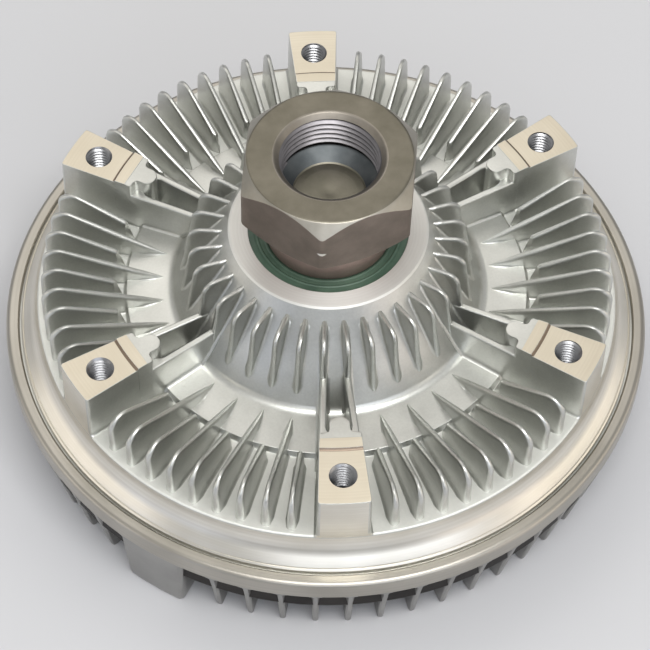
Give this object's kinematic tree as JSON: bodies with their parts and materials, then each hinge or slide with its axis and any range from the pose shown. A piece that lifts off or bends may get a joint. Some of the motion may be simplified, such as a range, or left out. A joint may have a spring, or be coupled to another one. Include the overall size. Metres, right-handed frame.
{
  "type": "viscous fan clutch",
  "caption": "Viscous fan clutch with a finned cast body and cover, tapped fan pads, a bearing hub and a hexagon input shaft with a female thread.",
  "frame": {"origin": "on the clutch axis, in the plane of the cover fin tips that it stands on", "axes": "+Z along the clutch axis from the front cover to the hexagon of the input shaft; a fan pad lies on -Y"},
  "size_m": [0.1926, 0.1926, 0.1029],
  "materials": {
    "cast_aluminium": "die-cast, machined pads and rim",
    "cast_aluminium_cover": "die-cast, turned rim",
    "turned_aluminium": "turned",
    "dark_steel": "phosphated, turned",
    "bearing_steel": "ground",
    "spring_steel": "blackened",
    "plated_sheet": "pressed and zinc plated",
    "plated_steel": "zinc plated",
    "bimetal_strip": "rolled strip",
    "black_rubber": "moulded",
    "green_rubber": "moulded",
    "cage_plastic": "moulded",
    "wiper_plastic": "moulded"
  },
  "bodies": {
    "housing": {"rear_housing": "cast_aluminium", "front_cover": "cast_aluminium_cover", "rim_seal": "black_rubber", "bearing_outer_ring": "bearing_steel", "bearing_seal_rear": "green_rubber", "bearing_seal_front": "green_rubber", "valve_plate": "plated_sheet", "valve_plate_screws": "plated_steel", "bimetal_coil": "bimetal_strip", "coil_anchor": "plated_steel", "coil_anchor_screw": "plated_steel", "return_wipers": "wiper_plastic"},
    "drive": {"input_shaft": "dark_steel", "bearing_inner_ring": "bearing_steel", "clutch_rotor": "turned_aluminium", "rotor_retaining_ring": "spring_steel"},
    "ball_set": {"bearing_balls": "bearing_steel", "bearing_cage_rear": "cage_plastic", "bearing_cage_front": "cage_plastic"},
    "valve": {"valve_shaft": "bearing_steel", "valve_arm": "plated_sheet", "valve_shaft_seal": "black_rubber", "valve_shaft_clip": "spring_steel"}
  },
  "joints": [
    {"name": "shaft_spin", "type": "hinge", "parent": "housing", "child": "drive", "pos_m": [0, 0, 0.0593], "axis": [0, 0, 1], "continuous": true},
    {"name": "ball_orbit", "type": "hinge", "parent": "housing", "child": "ball_set", "pos_m": [0, 0, 0.0593], "axis": [0, 0, 1], "continuous": true},
    {"name": "valve_turn", "type": "hinge", "parent": "housing", "child": "valve", "pos_m": [0, 0, 0.013], "axis": [0, 0, 1], "range_deg": [0, 28], "stiffness_Nm_per_rad": 0.05, "deforming": ["bimetal_coil"]}
  ],
  "couplings": [
    {"joint": "ball_orbit", "follows": "shaft_spin", "ratio": 0.41}
  ]
}
